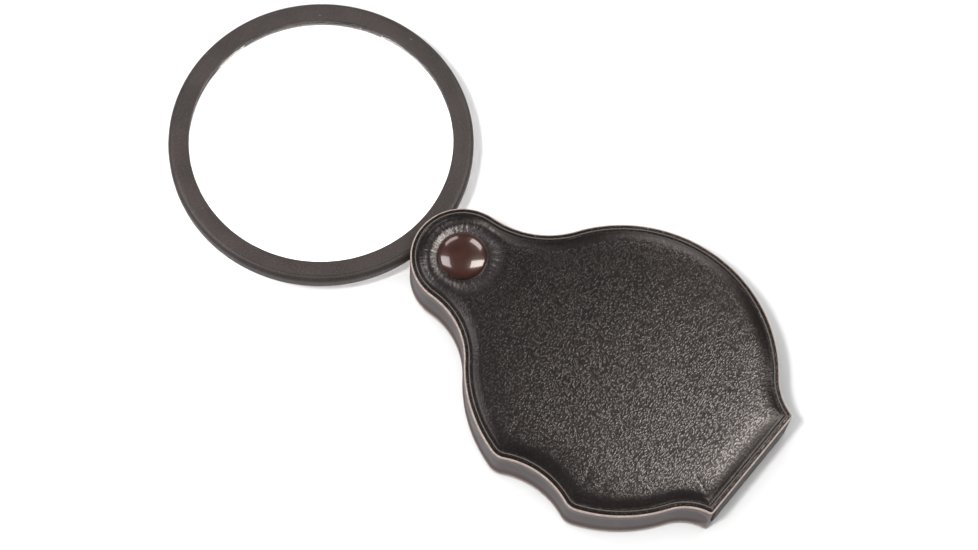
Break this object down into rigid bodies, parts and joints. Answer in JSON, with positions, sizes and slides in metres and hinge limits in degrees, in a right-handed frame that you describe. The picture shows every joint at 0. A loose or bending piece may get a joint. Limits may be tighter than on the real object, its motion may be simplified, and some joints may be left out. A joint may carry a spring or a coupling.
{
  "type": "folding magnifying glass",
  "caption": "Round lens in a plastic ring that swings on a capped rivet out of a padded leatherette case with a finger notch.",
  "frame": {"origin": "under the middle of the case's round body, on the flat middle of the back pad that it rests on", "axes": "+X along the case from the rivet to the straight tail end, +Y to the open side that the lens swings out of, +Z out of the front cover"},
  "size_m": [0.1547, 0.0728, 0.0155],
  "materials": {
    "leatherette": "semi-matt black-brown leatherette, fine pebble grain",
    "board_edge": "satin light brown-grey cut edge",
    "wall_plastic": "satin grey-mauve moulding",
    "foam": "matt foam",
    "lining": "matt dark sheet",
    "cap_enamel": "gloss dark brown enamel",
    "rivet_steel": "plated steel",
    "washer_nylon": "natural nylon",
    "ring_plastic": "matt finely stippled dark brown-grey",
    "lens_clear": "polished clear"
  },
  "bodies": {
    "case": {"back_board": "board_edge", "back_cap": "cap_enamel", "back_foam": "foam", "back_lining": "lining", "back_skin": "leatherette", "back_washer": "washer_nylon", "corner_post": "wall_plastic", "front_board": "board_edge", "front_cap": "cap_enamel", "front_foam": "foam", "front_lining": "lining", "front_skin": "leatherette", "front_washer": "washer_nylon", "rivet_post": "rivet_steel", "rivet_socket": "rivet_steel", "side_wall": "wall_plastic", "spine_strip": "leatherette"},
    "lens": {"lens_frame": "ring_plastic", "lens": "lens_clear", "lens_retainer": "ring_plastic"}
  },
  "joints": [
    {"name": "lens_swing", "type": "hinge", "parent": "case", "child": "lens", "pos_m": [-0.04304, 0, 0.00712], "axis": [0, 0, 1], "range_deg": [-164.5, 0]}
  ]
}
